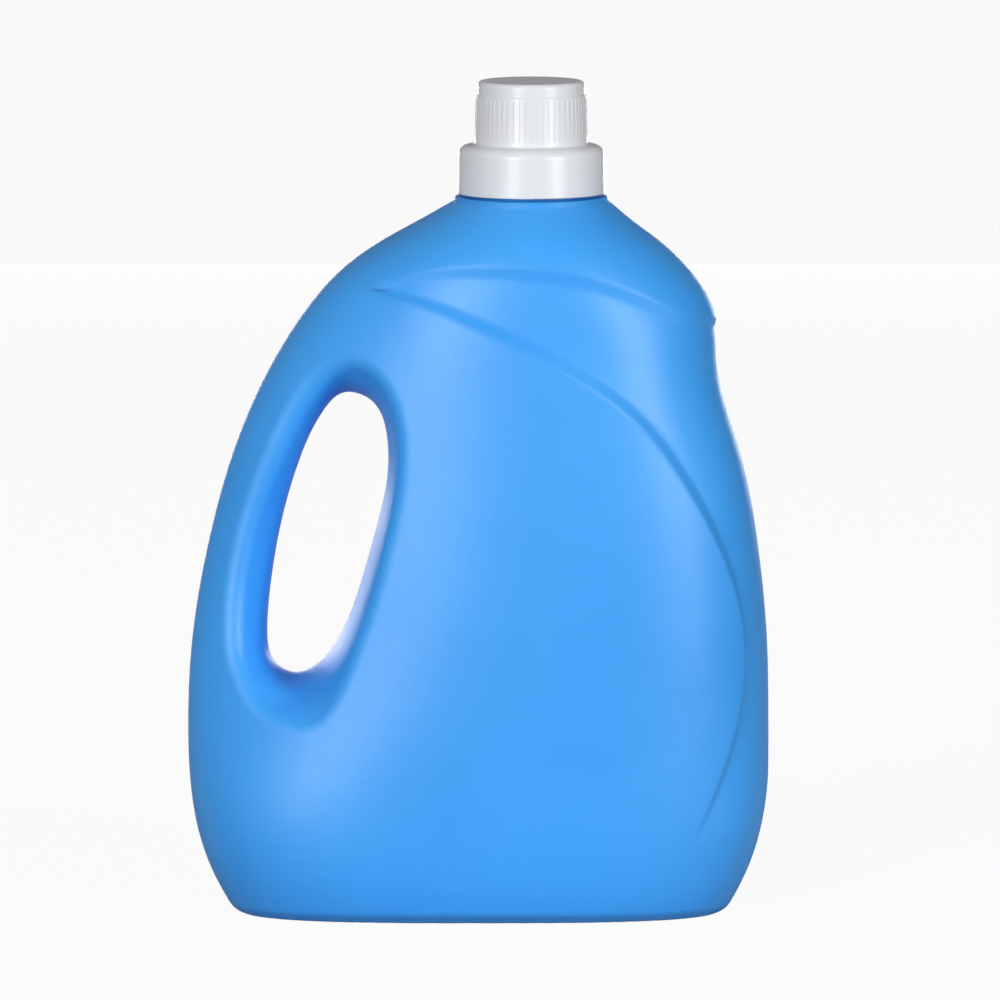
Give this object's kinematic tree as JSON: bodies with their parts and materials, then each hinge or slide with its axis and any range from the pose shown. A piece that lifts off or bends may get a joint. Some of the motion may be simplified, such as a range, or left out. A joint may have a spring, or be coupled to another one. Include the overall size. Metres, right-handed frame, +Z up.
{
  "type": "detergent bottle",
  "caption": "Blow-moulded detergent bottle with a hollow side grip, swept waist, drain-back pouring spout and a screw-on dosing cap with knob and skirt.",
  "frame": {"origin": "middle of the foot in the plane that the bottle stands on, on the plane where the mould parts", "axes": "+Z up along the neck axis, +X away from the grip, -Y to the front face"},
  "size_m": [0.2056, 0.108, 0.2944],
  "materials": {
    "bottle_body": "satin",
    "spout": "satin",
    "seal": "matt foam",
    "cap_shell": "semi-gloss"
  },
  "bodies": {
    "bottle": {"bottle": "bottle_body", "pour_spout": "spout"},
    "seal_ring": {"seal_ring": "seal"},
    "cap": {"cap": "cap_shell"}
  },
  "joints": [
    {"name": "cap_rise", "type": "slide", "parent": "bottle", "child": "seal_ring", "axis": [0, 0, 1], "range_m": [0, 0.0509]},
    {"name": "cap_turn", "type": "hinge", "parent": "seal_ring", "child": "cap", "pos_m": [0.0185, 0, 0.27], "axis": [0, 0, 1], "range_deg": [0, 2160]}
  ],
  "couplings": [
    {"joint": "cap_rise", "follows": "cap_turn", "m_per_rad": 0.0013475}
  ]
}
